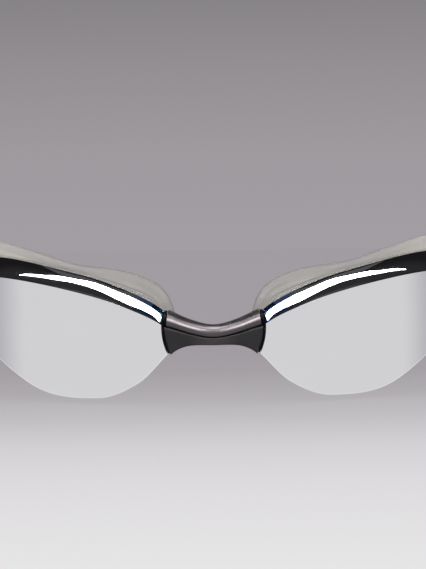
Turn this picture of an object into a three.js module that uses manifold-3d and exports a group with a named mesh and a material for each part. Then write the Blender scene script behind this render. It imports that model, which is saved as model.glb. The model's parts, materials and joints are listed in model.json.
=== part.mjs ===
// Swim goggles for racing: two mirrored lenses on clear rims with soft silicone gaskets, a push-fit nose
// bridge, and a silicone strap in two halves that run from hinged side arms to sliders behind the head.
//
// Millimetres. +X is the wearer's left, +Y points from the lenses to the back of the head, +Z is up. The
// goggles stand as they do on a table, on the gaskets' lower edges and on the two strap sliders at the back.
// Everything is laid out about the middle of the nose bridge's front, and the group is set on the table.
import * as THREE from "three";
import { mergeVertices } from "three/addons/utils/BufferGeometryUtils.js";
import Module from "manifold-3d";

const wasm = await Module();
wasm.setup();

// ---- Driving dimensions ----
const BRIDGE_HEIGHT = 16.5; // middle of the nose bridge above the table
const FRONT_TO_CENTRE = 82; // front of the nose bridge to the middle of the footprint
const CLEARANCE = 0.4; // play between pieces that touch on the real goggles

const WRAP_START = 8; // distance from the centre line at which the lens starts to curve back
const WRAP_RADIUS = 60;
const FACE_BULGE_RADIUS = 110; // vertical curve of the lens face
const FACE_MIDDLE = -1; // height at which the lens face stands furthest forward
const LENS_THICKNESS = 1.7;
const LENS_NOSE_X = 10.95;
const LENS_TEMPLE_X = 70.5;
const LENS_LIP = 0.6; // height of the bevel along the lower edge
const LENS_RETURN = 2; // how far the lower edge reaches back

const RIM_DEPTH = 2.4;
const RIM_WIDTH = 2.2;
const RIM_INSET = 0.4; // how far the rim lies inside the lens's cheek edge
const RIM_PROUD = 0.15; // how far it stands above the lens's brow edge
const RIM_BEHIND_BROW = 2.2; // from the lens's edge back to the rim
const RIM_BEHIND_CHEEK = 1.4;
const GASKET_GAP = 0.9;
const RING_STEPS = 48; // facets round one eye

const BRIDGE_END_X = 10.15;
const COVER_END_X = 9.8;
const COLLAR = { inner: 10.1, outer: 10.7, inset: 0.3 }; // black flange at each end of the bridge's body
const BRIDGE_END_BULGE = 1.4; // the bridge's ends are convex, and the lenses are cut to match
const BRIDGE_END_MIDDLE = 1.6;
const BRIDGE_END_HALF = 6.2;
const COVER_THICKNESS = 1;

const FLEX_X = 8.2; // axis on which each eyecup turns in the bridge's socket
const FLEX_Y = 3.5;
const TONGUE = { inner: 5.4, outer: 14.2, thick: 2.2, low: -1.6, high: 0.2 };
const HEEL = { inner: 12.4, outer: 15.2, front: 2.8, rear: 6.6 }; // joins the tongue to the rim
const SOCKET_PLAY = 0.65;

const ARM_Z = 11.5; // height of the side arm's middle above the bridge's middle
const HINGE = { x: 75.6, y: 39.5 };
const NECK = { x: 67.6, y: 36.5, thick: 1.8, half: 1.5 }; // joins the rim to its hinge lug
const PIN_RADIUS = 1;
const PIN_PLAY = 0.45;
const PIN_HEAD = { radius: 1.9, height: 0.6, gap: 0.4 };
const LUG_RADIUS = 2.6;
const LUG_HALF = 2.2;
const ARM = {
  inner: 72.7, outer: 79.1, rear: 70, waist: 50, swell: 56, frontHalf: 4.7, rearHalf: 5.4,
};
const BUTTON = { y: 60, halfLength: 4, halfHeight: 2.4, inner: 77.7, outer: 79.9 };

const BAND_HEIGHT = 3.4; // at the side arm
const BAND_BACK_HEIGHT = 2.7; // round the back
const BAND_GAP = 0.4;
const STRAP_THICKNESS = 2;
const STRAP_X = 75.5; // the strap leaves the side arm here
const STRAP_START_Y = 46;
const STRAP_TURN_Y = 88; // start of the curve round the back of the head
const STRAP_BACK_X = 42; // the back is straight from here
const STRAP_TAIL_X = -30;
const STRAP_SLOPE_Y = 74; // the strap starts to drop towards the back here
const STRAP_SPREAD = 3.2; // how far each band moves off the strap's middle at the side of the head
const LEFT_BACK_Y = 160.2;
const RIGHT_BACK_Y = 162.8;
const SLIDER_X = 21;
const SLIDER = { halfLength: 5, wall: 1 };

const strapHalf = BAND_HEIGHT + BAND_GAP / 2;
const strapBackHalf = BAND_BACK_HEIGHT + BAND_GAP / 2;
const sliderHalf = strapBackHalf + CLEARANCE + SLIDER.wall;
const strapBackZ = sliderHalf - BRIDGE_HEIGHT; // the sliders rest on the table

// ---- Small tools ----
const MIRROR_X = new THREE.Matrix4().makeScale(-1, 1, 1);

// A smooth curve y(x) through the points, in order of x.
function through(points) {
  const last = points.length - 1;
  const slopes = points.map((_, i) => {
    const [xa, ya] = points[Math.max(i - 1, 0)];
    const [xb, yb] = points[Math.min(i + 1, last)];
    return (yb - ya) / (xb - xa);
  });
  return (x) => {
    let i = 0;
    while (i < last - 1 && x > points[i + 1][0]) i++;
    const [x0, y0] = points[i];
    const [x1, y1] = points[i + 1];
    const h = x1 - x0;
    const t = (x - x0) / h;
    const s = 1 - t;
    return (
      y0 * s * s * (1 + 2 * t) +
      y1 * t * t * (1 + 2 * s) +
      h * (slopes[i] * t * s * s - slopes[i + 1] * s * t * t)
    );
  };
}

const smoothstep = (t) => {
  const c = Math.min(Math.max(t, 0), 1);
  return c * c * (3 - 2 * c);
};

// A closed mesh from vertices and triangles, with its faces turned outwards.
function closedMesh(vertices, triangles) {
  let volume = 0;
  for (const [a, b, c] of triangles) {
    volume += vertices[a].dot(vertices[b].clone().cross(vertices[c]));
  }
  const order = volume < 0 ? triangles.map(([a, b, c]) => [a, c, b]) : triangles;
  const geometry = new THREE.BufferGeometry().setFromPoints(vertices);
  geometry.setIndex(order.flat());
  return geometry;
}

const quad = (a, b, c, d) => [
  [a, b, c],
  [a, c, d],
];

// A sheet with thickness: two grids of points of the same size, joined round their borders.
function thickSheet(outer, inner) {
  const rows = outer.length;
  const columns = outer[0].length;
  const vertices = [...outer.flat(), ...inner.flat()];
  const at = (i, j, side) => side * rows * columns + i * columns + j;
  const triangles = [];
  for (let i = 0; i < rows - 1; i++) {
    for (let j = 0; j < columns - 1; j++) {
      triangles.push(...quad(at(i, j, 0), at(i + 1, j, 0), at(i + 1, j + 1, 0), at(i, j + 1, 0)));
      triangles.push(...quad(at(i, j, 1), at(i, j + 1, 1), at(i + 1, j + 1, 1), at(i + 1, j, 1)));
    }
    triangles.push(...quad(at(i, 0, 0), at(i, 0, 1), at(i + 1, 0, 1), at(i + 1, 0, 0)));
    const end = columns - 1;
    triangles.push(...quad(at(i, end, 0), at(i + 1, end, 0), at(i + 1, end, 1), at(i, end, 1)));
  }
  for (let j = 0; j < columns - 1; j++) {
    const end = rows - 1;
    triangles.push(...quad(at(0, j, 0), at(0, j + 1, 0), at(0, j + 1, 1), at(0, j, 1)));
    triangles.push(...quad(at(end, j, 0), at(end, j, 1), at(end, j + 1, 1), at(end, j + 1, 0)));
  }
  return closedMesh(vertices, triangles);
}

// Closed sections of equal size joined into a tube, either round on itself or with flat ends.
function loft(sections, ring = false) {
  const rows = sections.length;
  const columns = sections[0].length;
  const vertices = sections.flat();
  const triangles = [];
  for (let i = 0; i < (ring ? rows : rows - 1); i++) {
    const next = (i + 1) % rows;
    for (let j = 0; j < columns; j++) {
      const k = (j + 1) % columns;
      triangles.push(
        ...quad(i * columns + j, next * columns + j, next * columns + k, i * columns + k),
      );
    }
  }
  if (!ring) {
    const cap = THREE.ShapeUtils.triangulateShape;
    for (const end of [0, rows - 1]) {
      const flat = sections[end].map((p) => new THREE.Vector2(p.y, p.z));
      const faces = cap(flat, []).map((face) => face.map((k) => end * columns + k));
      const turn = THREE.ShapeUtils.isClockWise(flat) === (end === 0);
      triangles.push(...(turn ? faces.map(([a, b, c]) => [a, c, b]) : faces));
    }
  }
  return closedMesh(vertices, triangles);
}

function solidOf(geometry) {
  const bare = geometry.clone();
  bare.deleteAttribute("normal");
  bare.deleteAttribute("uv");
  const merged = mergeVertices(bare, 1e-4);
  return new wasm.Manifold(
    new wasm.Mesh({
      numProp: 3,
      vertProperties: merged.attributes.position.array,
      triVerts: new Uint32Array(merged.index.array),
    }),
  );
}

function geometryOf(solid) {
  const mesh = solid.getMesh();
  const geometry = new THREE.BufferGeometry();
  geometry.setAttribute("position", new THREE.BufferAttribute(mesh.vertProperties, 3));
  geometry.setIndex(new THREE.BufferAttribute(mesh.triVerts, 1));
  return geometry;
}

function block(x0, x1, y0, y1, z0, z1) {
  const box = new THREE.BoxGeometry(x1 - x0, y1 - y0, z1 - z0);
  return solidOf(box.translate((x0 + x1) / 2, (y0 + y1) / 2, (z0 + z1) / 2));
}

function upright(radius, x, y, z0, z1, sides = 24) {
  const cylinder = new THREE.CylinderGeometry(radius, radius, z1 - z0, sides);
  return solidOf(cylinder.rotateX(Math.PI / 2).translate(x, y, (z0 + z1) / 2));
}

// ---- Lens ----
const faceDepth = (x) => (x - WRAP_START) ** 2 / (2 * WRAP_RADIUS);
// The brow edge, the ridge between band and face, and the cheek edge, each from nose to temple.
const browHeight = through([[11, 5.6], [20, 10.1], [32, 14.2], [57, 18.6], [71, 14.2]]);
const ridgeHeight = through([[11, 2.6], [26, 8.5], [44, 12.6], [58, 13.9], [71, 12.2]]);
const cheekHeight = through([[11, -4.8], [18, -11.6], [28, -15.3], [45, -12.4], [71, 9]]);

// The band is deepest between the two ends and runs out towards each.
function browDepth(x) {
  const nose = Math.max(0, 1 - (x - 11) / 17);
  const temple = Math.max(0, (x - 54) / 17);
  return 4.7 - 1.5 * nose ** 2 - 1.7 * temple ** 2;
}

// The lens's nose end is hollowed to clear the bridge's convex end.
function noseEndShift(x, z) {
  const fade = Math.max(0, 1 - (x - LENS_NOSE_X) / 7) ** 2;
  const across = (z - BRIDGE_END_MIDDLE) / BRIDGE_END_HALF;
  return BRIDGE_END_BULGE * Math.max(0, 1 - across * across) * fade;
}

// One column of the lens from the brow edge down over the ridge and the face to the cheek edge.
function lensColumn(x, faceRows) {
  const back = faceDepth(x);
  const bulge = (z) => (z - FACE_MIDDLE) ** 2 / (2 * FACE_BULGE_RADIUS);
  const ridge = ridgeHeight(x);
  const low = cheekHeight(x) + LENS_LIP;
  const brow = new THREE.Vector3(x, back + browDepth(x), browHeight(x));
  const crest = new THREE.Vector3(x, back + bulge(ridge), ridge);
  const middle = brow.clone().lerp(crest, 0.5).add(new THREE.Vector3(0, -0.3, 0.3));
  const column = [brow, middle];
  for (let j = 0; j <= faceRows; j++) {
    const z = ridge + ((low - ridge) * j) / faceRows;
    column.push(new THREE.Vector3(x, back + bulge(z), z));
  }
  column.push(new THREE.Vector3(x, back + LENS_RETURN, cheekHeight(x)));
  for (const p of column) {
    p.x += noseEndShift(x, p.z);
  }
  return column;
}

// Moves a grid of points inwards by a thickness, along its normals.
function offsetGrid(grid, distance) {
  const rows = grid.length;
  const columns = grid[0].length;
  return grid.map((row, i) =>
    row.map((p, j) => {
      const along = grid[Math.min(i + 1, rows - 1)][j].clone().sub(grid[Math.max(i - 1, 0)][j]);
      const down = row[Math.min(j + 1, columns - 1)].clone().sub(row[Math.max(j - 1, 0)]);
      return p.clone().addScaledVector(along.cross(down).normalize(), distance);
    }),
  );
}

function lensGeometry(columns = 30, faceRows = 6) {
  const outer = [];
  for (let i = 0; i <= columns; i++) {
    const x = LENS_NOSE_X + ((LENS_TEMPLE_X - LENS_NOSE_X) * i) / columns;
    outer.push(lensColumn(x, faceRows));
  }
  return thickSheet(outer, offsetGrid(outer, LENS_THICKNESS));
}

// ---- Rim and gasket ----
const closedCurve = (points) => new THREE.CatmullRomCurve3(points, true, "catmullrom", 0.5);
const behindFace = (x, depth, z) => new THREE.Vector3(x, faceDepth(x) + depth, z);

// The rim follows the lens's edge, from the nose over the brow and back along the cheek.
const BROW_STATIONS = [14, 22, 34, 46, 58, 65];
const CHEEK_STATIONS = [65, 57, 46, 34, 23, 15];
const RIM_NOSE = { x: 13.2, depth: 4.4, z: 0.5 };
const RIM_TEMPLE = { x: 68.4, depth: 5.4, z: 11.5 };

function rimOutline(back) {
  const end = ({ x, depth, z }) => behindFace(x, depth + back, z);
  const brow = (x) =>
    behindFace(x, browDepth(x) + RIM_BEHIND_BROW + back, browHeight(x) + RIM_PROUD);
  const cheek = (x) =>
    behindFace(x, LENS_RETURN + RIM_BEHIND_CHEEK + back, cheekHeight(x) + RIM_INSET);
  return closedCurve([
    end(RIM_NOSE), ...BROW_STATIONS.map(brow), end(RIM_TEMPLE), ...CHEEK_STATIONS.map(cheek),
  ]);
}

// Where the gasket meets the face, as [x, distance behind the lens face, height].
const SEAL_POINTS = [
  [9.5, 13, 0.5], [12, 13.5, 10], [21, 14.5, 14.4], [34, 15, 16.3], [45, 15, 19.6], [57, 14.5, 22.3],
  [67, 10.5, 19.5], [66.5, 10.5, 4.5], [49, 13.5, -11.6], [29, 13.5, -16.1], [16, 13, -9.4],
];
const rimFront = rimOutline(0);
const rimRear = rimOutline(RIM_DEPTH);
const gasketFront = rimOutline(RIM_DEPTH + GASKET_GAP);
const gasketRear = closedCurve(SEAL_POINTS.map(([x, depth, z]) => behindFace(x, depth, z)));

// A profile carried round the eye, both outlines stepped by their length. Each profile point is
// [share of the way from front to rear, mm inwards, mm back].
function ringSweep(front, rear, profile, steps) {
  const sections = [];
  for (let i = 0; i < steps; i++) {
    const t = i / steps;
    const f = front.getPointAt(t);
    const r = rear.getPointAt(t);
    const tangent = front.getTangentAt(t).add(rear.getTangentAt(t));
    const inward = new THREE.Vector3(tangent.z, 0, -tangent.x).normalize();
    sections.push(
      profile.map(([share, inside, back]) => {
        const p = f.clone().lerp(r, share).addScaledVector(inward, inside);
        p.y += back;
        return p;
      }),
    );
  }
  return loft(sections, true);
}

const RIM_PROFILE = [[0, 0, 0], [1, 0, 0], [1, RIM_WIDTH, 0], [0, RIM_WIDTH, 0]];
const GASKET_PROFILE = [
  [0, 0, 0], [0.35, 0.9, 0], [0.7, 0.6, 0], [0.95, -0.1, 0], [1, 0.3, 0.7], [1, 3.2, 1.1],
  [1, 3.2, 0.2], [0.9, 1.6, 0], [0.65, 2, 0], [0.3, 2.4, 0], [0, 1.8, 0],
];

function rimGeometry() {
  const ring = solidOf(ringSweep(rimFront, rimRear, RIM_PROFILE, RING_STEPS));
  const tongue = block(
    TONGUE.inner, TONGUE.outer,
    FLEX_Y - TONGUE.thick / 2, FLEX_Y + TONGUE.thick / 2,
    TONGUE.low, TONGUE.high,
  );
  const heel = block(
    HEEL.inner, HEEL.outer, HEEL.front, HEEL.rear, TONGUE.low, TONGUE.high,
  );
  const z0 = ARM_Z - LUG_HALF;
  const z1 = ARM_Z + LUG_HALF;
  const neck = solidOf(
    new THREE.BoxGeometry(Math.hypot(HINGE.x - NECK.x, HINGE.y - NECK.y), NECK.thick, 2 * NECK.half)
      .rotateZ(Math.atan2(HINGE.y - NECK.y, HINGE.x - NECK.x))
      .translate((HINGE.x + NECK.x) / 2, (HINGE.y + NECK.y) / 2, ARM_Z),
  );
  const lug = upright(LUG_RADIUS, HINGE.x, HINGE.y, z0, z1);
  const bore = upright(PIN_RADIUS + PIN_PLAY, HINGE.x, HINGE.y, z0 - 1, z1 + 1);
  return geometryOf(ring.add(tongue).add(heel).add(neck).add(lug).subtract(bore));
}

const gasketGeometry = () => ringSweep(gasketFront, gasketRear, GASKET_PROFILE, RING_STEPS);

// ---- Nose bridge ----
const saddleTop = through([[-5.5, 3.5], [0, 2.2], [5.5, 3.5], [10.5, 6.1]]);
const saddleCrease = through([[-5.5, 0.3], [0, -0.7], [5.5, 0.3], [10.5, 2.3]]);
const saddleBottom = through([[-5.5, -2.6], [0, -2.6], [5.5, -2.6], [8, -3.3], [10.5, -4.8]]);
const saddleFront = through([[-5.5, -0.3], [0, 0.2], [5.5, -0.3], [10.5, -1.2]]);
const saddleRear = through([[-5.5, 6.5], [0, 5.8], [5.5, 6.5], [10.5, 7.6]]);

// Half of an oval tube from the front crease over the top to the rear crease, inset by a distance.
function saddleArch(x, inset, steps) {
  const front = saddleFront(x) + inset;
  const rear = saddleRear(x) - inset;
  const crease = saddleCrease(x);
  const top = saddleTop(x) - inset;
  const middle = crease + 0.32 * (top - crease);
  const start = Math.asin((crease - middle) / (top - middle));
  return Array.from({ length: steps + 1 }, (_, k) => {
    const angle = start + ((Math.PI - 2 * start) * k) / steps;
    return [
      (front + rear) / 2 - ((rear - front) / 2) * Math.cos(angle),
      middle + (top - middle) * Math.sin(angle),
    ];
  });
}

// A section set at x and bowed outwards, by a share of the bridge's end bulge.
const bowed = (section, x, share) =>
  section(Math.abs(x)).map(([y, z]) => {
    const height = (z - BRIDGE_END_MIDDLE) / BRIDGE_END_HALF;
    const bow = BRIDGE_END_BULGE * Math.max(0, 1 - height * height) * share;
    return new THREE.Vector3(x + bow, y, z);
  });

// Sections across the bridge from end to end, straight in the middle and bowed at both ends.
const bridgeSections = (section, end, steps = 24) =>
  Array.from({ length: steps + 1 }, (_, i) => {
    const across = (2 * i) / steps - 1;
    return bowed(section, across * end, ((across * end) / BRIDGE_END_X) ** 5);
  });

// Points up an upright wall, so that it can bow with the bridge's ends.
const wallPoints = (y, low, high, steps = 4) =>
  Array.from({ length: steps - 1 }, (_, i) => [y, low + ((high - low) * (i + 1)) / steps]);

function bodySection(x) {
  const step = COVER_THICKNESS + CLEARANCE;
  const front = saddleFront(x);
  const rear = saddleRear(x);
  const crease = saddleCrease(x) - CLEARANCE;
  const bottom = saddleBottom(x);
  return [
    [front + 0.5, bottom], [front, bottom + 0.5],
    ...wallPoints(front, bottom + 0.5, crease - 0.3),
    [front, crease - 0.3], [front + 0.3, crease],
    [saddleArch(x, step, 8)[0][0], crease],
    ...saddleArch(x, step, 8),
    [saddleArch(x, step, 8)[8][0], crease],
    [rear, crease],
    ...wallPoints(rear, crease, bottom + 0.5),
    [rear, bottom + 0.5], [rear - 0.5, bottom],
  ];
}

// The collar has the bridge's full outline at its end, set in a little all round.
function collarSection() {
  const arch = saddleArch(BRIDGE_END_X, COLLAR.inset, 8);
  const bottom = saddleBottom(BRIDGE_END_X) + COLLAR.inset;
  const front = arch[0];
  const rear = arch[8];
  return [
    [front[0], bottom], ...wallPoints(front[0], bottom, front[1]), ...arch,
    ...wallPoints(rear[0], rear[1], bottom), [rear[0], bottom],
  ];
}

function coverSection(x) {
  return [...saddleArch(x, 0, 10), ...saddleArch(x, COVER_THICKNESS, 10).reverse()];
}

function bridgeBodyGeometry() {
  const body = solidOf(loft(bridgeSections(bodySection, BRIDGE_END_X)));
  const collars = [1, -1].map((side) => {
    const ends = [COLLAR.inner, COLLAR.outer].map((x) => bowed(collarSection, side * x, side));
    return solidOf(loft(ends));
  });
  const low = TONGUE.low - CLEARANCE;
  const high = TONGUE.high + CLEARANCE;
  const half = TONGUE.thick / 2 + SOCKET_PLAY;
  const socket = (x0, x1) => block(x0, x1, FLEX_Y - half, FLEX_Y + half, low, high);
  const inner = TONGUE.inner - CLEARANCE;
  const flanged = body.add(collars[0]).add(collars[1]);
  return geometryOf(flanged.subtract(socket(inner, 14)).subtract(socket(-14, -inner)));
}

// ---- Side arm, hinge pin and release button ----
function sideArmGeometry() {
  const radius = (ARM.outer - ARM.inner) / 2;
  const middle = (ARM.outer + ARM.inner) / 2;
  const plan = new THREE.Shape();
  plan.moveTo(ARM.inner, HINGE.y + 1);
  plan.absarc(middle, HINGE.y, radius, Math.PI, 0, false);
  plan.lineTo(ARM.outer, ARM.rear - 2);
  plan.quadraticCurveTo(ARM.outer, ARM.rear, ARM.outer - 1.4, ARM.rear);
  plan.lineTo(ARM.inner + 1.4, ARM.rear);
  plan.quadraticCurveTo(ARM.inner, ARM.rear, ARM.inner, ARM.rear - 2);
  const tall = new THREE.ExtrudeGeometry(plan, {
    depth: 16, bevelEnabled: false, curveSegments: 8,
  }).translate(0, 0, ARM_Z - 8);

  const side = new THREE.Shape();
  const nose = HINGE.y - radius - 1;
  const end = ARM.rear + 1;
  side.moveTo(nose, -ARM.frontHalf);
  side.quadraticCurveTo(ARM.waist, -ARM.frontHalf, ARM.swell, -ARM.rearHalf);
  side.lineTo(end - 4, -ARM.rearHalf);
  side.quadraticCurveTo(end - 1, -ARM.rearHalf, end, -ARM.rearHalf + 2);
  side.lineTo(end, ARM.rearHalf - 2);
  side.quadraticCurveTo(end - 1, ARM.rearHalf, end - 4, ARM.rearHalf);
  side.lineTo(ARM.swell, ARM.rearHalf);
  side.quadraticCurveTo(ARM.waist, ARM.frontHalf, nose, ARM.frontHalf);
  // The shape is drawn in (Y, Z) and extruded along X.
  const wide = new THREE.ExtrudeGeometry(side, {
    depth: 20, bevelEnabled: false, curveSegments: 6,
  })
    .applyMatrix4(new THREE.Matrix4().set(0, 0, 1, 0, 1, 0, 0, 0, 0, 1, 0, 0, 0, 0, 0, 1))
    .translate(middle - 10, 0, ARM_Z);

  const slot = STRAP_THICKNESS / 2 + CLEARANCE;
  const channel = block(
    STRAP_X - slot, STRAP_X + slot,
    STRAP_START_Y - 8, ARM.rear + 4,
    ARM_Z - strapHalf - CLEARANCE, ARM_Z + strapHalf + CLEARANCE,
  );
  const fork = block(
    ARM.inner - 4, ARM.outer + 4,
    HINGE.y - 8, HINGE.y + LUG_RADIUS + 0.9,
    ARM_Z - LUG_HALF - CLEARANCE, ARM_Z + LUG_HALF + CLEARANCE,
  );
  const bore = upright(PIN_RADIUS + PIN_PLAY, HINGE.x, HINGE.y, ARM_Z - 8, ARM_Z + 8);
  const window = block(
    STRAP_X, ARM.outer + 4,
    BUTTON.y - BUTTON.halfLength - CLEARANCE, BUTTON.y + BUTTON.halfLength + CLEARANCE,
    ARM_Z - BUTTON.halfHeight - CLEARANCE, ARM_Z + BUTTON.halfHeight + CLEARANCE,
  );
  const body = solidOf(tall).intersect(solidOf(wide));
  return geometryOf(body.subtract(channel).subtract(fork).subtract(bore).subtract(window));
}

function hingePinGeometry() {
  const top = ARM_Z + ARM.frontHalf;
  const head = top + PIN_HEAD.gap;
  const shank = upright(PIN_RADIUS, HINGE.x, HINGE.y, ARM_Z - ARM.frontHalf, head);
  const cap = upright(PIN_HEAD.radius, HINGE.x, HINGE.y, head, head + PIN_HEAD.height);
  return geometryOf(shank.add(cap));
}

function buttonGeometry() {
  const face = new THREE.Shape();
  const half = BUTTON.halfHeight;
  const straight = BUTTON.halfLength - half;
  face.moveTo(-straight, -half);
  face.lineTo(straight, -half);
  face.absarc(straight, 0, half, -Math.PI / 2, Math.PI / 2, false);
  face.lineTo(-straight, half);
  face.absarc(-straight, 0, half, Math.PI / 2, (3 * Math.PI) / 2, false);
  return new THREE.ExtrudeGeometry(face, {
    depth: BUTTON.outer - BUTTON.inner, bevelEnabled: false, curveSegments: 10,
  })
    .applyMatrix4(new THREE.Matrix4().set(0, 0, 1, 0, 1, 0, 0, 0, 0, 1, 0, 0, 0, 0, 0, 1))
    .translate(BUTTON.inner, BUTTON.y, ARM_Z);
}

// ---- Strap ----
// The strap's middle line seen from above: straight back along the head, a quarter oval, and straight
// across the back.
function strapPath(backY, steps = 20) {
  const across = STRAP_X - STRAP_BACK_X;
  const deep = backY - STRAP_TURN_Y;
  const points = [STRAP_START_Y, 60, 72, 80].map((y) => new THREE.Vector3(STRAP_X, y, 0));
  for (let k = 0; k <= steps; k++) {
    const angle = (Math.PI / 2) * (k / steps);
    points.push(
      new THREE.Vector3(
        STRAP_BACK_X + across * Math.cos(angle),
        STRAP_TURN_Y + deep * Math.sin(angle),
        0,
      ),
    );
  }
  for (const x of [24, 10, -4, -16, STRAP_TAIL_X]) {
    points.push(new THREE.Vector3(x, backY, 0));
  }
  return points;
}

// Share of the way from the side arm to the flat back, 0 to 1.
function strapShare(p, backY) {
  const length = backY - STRAP_SLOPE_Y;
  const width = STRAP_X - STRAP_BACK_X;
  const back = Math.max(p.y - STRAP_SLOPE_Y, 0);
  const inwards = STRAP_X - Math.max(p.x, STRAP_BACK_X);
  return (back + inwards) / (length + width);
}

function bandGeometry(backY, sign) {
  const path = strapPath(backY);
  const sections = path.map((p, i) => {
    const share = strapShare(p, backY);
    const middle = ARM_Z + (strapBackZ - ARM_Z) * smoothstep(share);
    const height = BAND_HEIGHT + (BAND_BACK_HEIGHT - BAND_HEIGHT) * smoothstep(share);
    const spread = STRAP_SPREAD * Math.sin(Math.PI * share) ** 2;
    const z = middle + sign * ((height + BAND_GAP) / 2 + spread);
    const before = path[Math.max(i - 1, 0)];
    const after = path[Math.min(i + 1, path.length - 1)];
    const side = new THREE.Vector3(after.y - before.y, before.x - after.x, 0).normalize();
    const t = STRAP_THICKNESS / 2;
    const h = height / 2;
    return [[-t, -h], [t, -h], [t, h], [-t, h]].map(([out, up]) =>
      new THREE.Vector3(p.x, p.y, z + up).addScaledVector(side, out),
    );
  });
  return solidOf(bandLoft(sections));
}

// The band's ends lie in planes of their own, so its two ends are closed by hand.
function bandLoft(sections) {
  const vertices = sections.flat();
  const triangles = [];
  for (let i = 0; i < sections.length - 1; i++) {
    for (let j = 0; j < 4; j++) {
      const k = (j + 1) % 4;
      triangles.push(...quad(i * 4 + j, (i + 1) * 4 + j, (i + 1) * 4 + k, i * 4 + k));
    }
  }
  const end = vertices.length - 4;
  triangles.push(...quad(0, 1, 2, 3), ...quad(end + 3, end + 2, end + 1, end));
  return closedMesh(vertices, triangles);
}

function strapGeometry(backY) {
  const t = STRAP_THICKNESS / 2;
  const stem = block(
    STRAP_X - t, STRAP_X + t,
    STRAP_START_Y, STRAP_SLOPE_Y + 3,
    ARM_Z - strapHalf, ARM_Z + strapHalf,
  );
  const end = block(
    STRAP_TAIL_X, STRAP_TAIL_X + 5,
    backY - t, backY + t,
    strapBackZ - strapBackHalf, strapBackZ + strapBackHalf,
  );
  return geometryOf(bandGeometry(backY, 1).add(bandGeometry(backY, -1)).add(stem).add(end));
}

// A slider is a short sleeve round both layers of the strap.
function sliderGeometry() {
  const play = STRAP_THICKNESS / 2 + CLEARANCE;
  const front = LEFT_BACK_Y - play;
  const rear = RIGHT_BACK_Y + play;
  const half = strapBackHalf + CLEARANCE;
  const wall = SLIDER.wall;
  const x0 = SLIDER_X - SLIDER.halfLength;
  const x1 = SLIDER_X + SLIDER.halfLength;
  const shell = block(
    x0, x1, front - wall, rear + wall,
    strapBackZ - sliderHalf, strapBackZ + sliderHalf,
  );
  const tunnel = block(
    x0 - 1, x1 + 1, front, rear, strapBackZ - half, strapBackZ + half,
  );
  return geometryOf(shell.subtract(tunnel));
}

// ---- Assembly ----
const materials = {
  mirror: new THREE.MeshStandardMaterial({ color: 0xd4d4d8, roughness: 0.05, metalness: 1 }),
  clear: new THREE.MeshStandardMaterial({ color: 0xc8ccc8, roughness: 0.1, metalness: 0 }),
  silicone: new THREE.MeshStandardMaterial({ color: 0xb4b4aa, roughness: 0.35, metalness: 0 }),
  bridge: new THREE.MeshStandardMaterial({ color: 0x323132, roughness: 0.5, metalness: 0.1 }),
  satin: new THREE.MeshStandardMaterial({ color: 0x6e686b, roughness: 0.35, metalness: 0.6 }),
  strap: new THREE.MeshStandardMaterial({ color: 0x1c1c1e, roughness: 0.55, metalness: 0 }),
  black: new THREE.MeshStandardMaterial({ color: 0x161618, roughness: 0.3, metalness: 0 }),
  steel: new THREE.MeshStandardMaterial({ color: 0xb8b8ba, roughness: 0.25, metalness: 1 }),
};

const goggles = new THREE.Group();
goggles.position.set(0, -FRONT_TO_CENTRE, BRIDGE_HEIGHT);

function place(name, geometry, material) {
  const mesh = new THREE.Mesh(geometry, material);
  mesh.name = name;
  goggles.add(mesh);
}

function placePair(name, geometry, material) {
  place(name + "_left", geometry, material);
  const mirrored = solidOf(geometry).transform(MIRROR_X.elements);
  place(name + "_right", geometryOf(mirrored), material);
}

place("nose_bridge_body", bridgeBodyGeometry(), materials.bridge);
place("nose_bridge_cover", loft(bridgeSections(coverSection, COVER_END_X)), materials.satin);
placePair("lens", lensGeometry(), materials.mirror);
placePair("rim", rimGeometry(), materials.clear);
placePair("gasket", gasketGeometry(), materials.silicone);
placePair("hinge_pin", hingePinGeometry(), materials.steel);
placePair("side_arm", sideArmGeometry(), materials.black);
placePair("release_button", buttonGeometry(), materials.satin);
placePair("slider", sliderGeometry(), materials.black);
place("strap_left", strapGeometry(LEFT_BACK_Y), materials.strap);
const rightStrap = solidOf(strapGeometry(RIGHT_BACK_Y)).transform(MIRROR_X.elements);
place("strap_right", geometryOf(rightStrap), materials.strap);

export default goggles;
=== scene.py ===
import json
import math

import bmesh
import bpy
from mathutils import Matrix, Vector


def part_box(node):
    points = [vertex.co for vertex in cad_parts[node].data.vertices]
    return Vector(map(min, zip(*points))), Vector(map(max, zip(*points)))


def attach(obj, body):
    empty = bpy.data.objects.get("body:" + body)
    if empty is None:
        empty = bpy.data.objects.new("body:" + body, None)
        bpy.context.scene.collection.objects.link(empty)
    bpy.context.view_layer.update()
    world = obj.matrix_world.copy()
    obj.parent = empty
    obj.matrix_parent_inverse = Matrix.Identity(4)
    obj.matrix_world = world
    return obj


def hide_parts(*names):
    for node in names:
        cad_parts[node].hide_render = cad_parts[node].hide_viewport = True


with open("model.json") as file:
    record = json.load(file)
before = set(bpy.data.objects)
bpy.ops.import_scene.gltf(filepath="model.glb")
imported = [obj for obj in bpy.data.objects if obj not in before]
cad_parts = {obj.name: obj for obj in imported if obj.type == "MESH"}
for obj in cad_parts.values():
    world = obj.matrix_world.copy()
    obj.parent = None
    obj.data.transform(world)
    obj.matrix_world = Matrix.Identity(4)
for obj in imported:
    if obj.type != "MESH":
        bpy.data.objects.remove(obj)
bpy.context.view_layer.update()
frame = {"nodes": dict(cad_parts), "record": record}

MM = 0.001
FLEX_Y = 3.5
SIDES = {"left": 1, "right": -1}
joint_at = {j["name"]: j.get("pos_m") for j in frame["record"]["behaviour"]["joints"]}
flex = Vector(joint_at["eyecup_left_flex"])
swing = Vector(joint_at["arm_left_swing"])
ORIGIN = Vector((0, flex.y - FLEX_Y * MM, flex.z))
HINGE = (swing - ORIGIN) / MM


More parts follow.
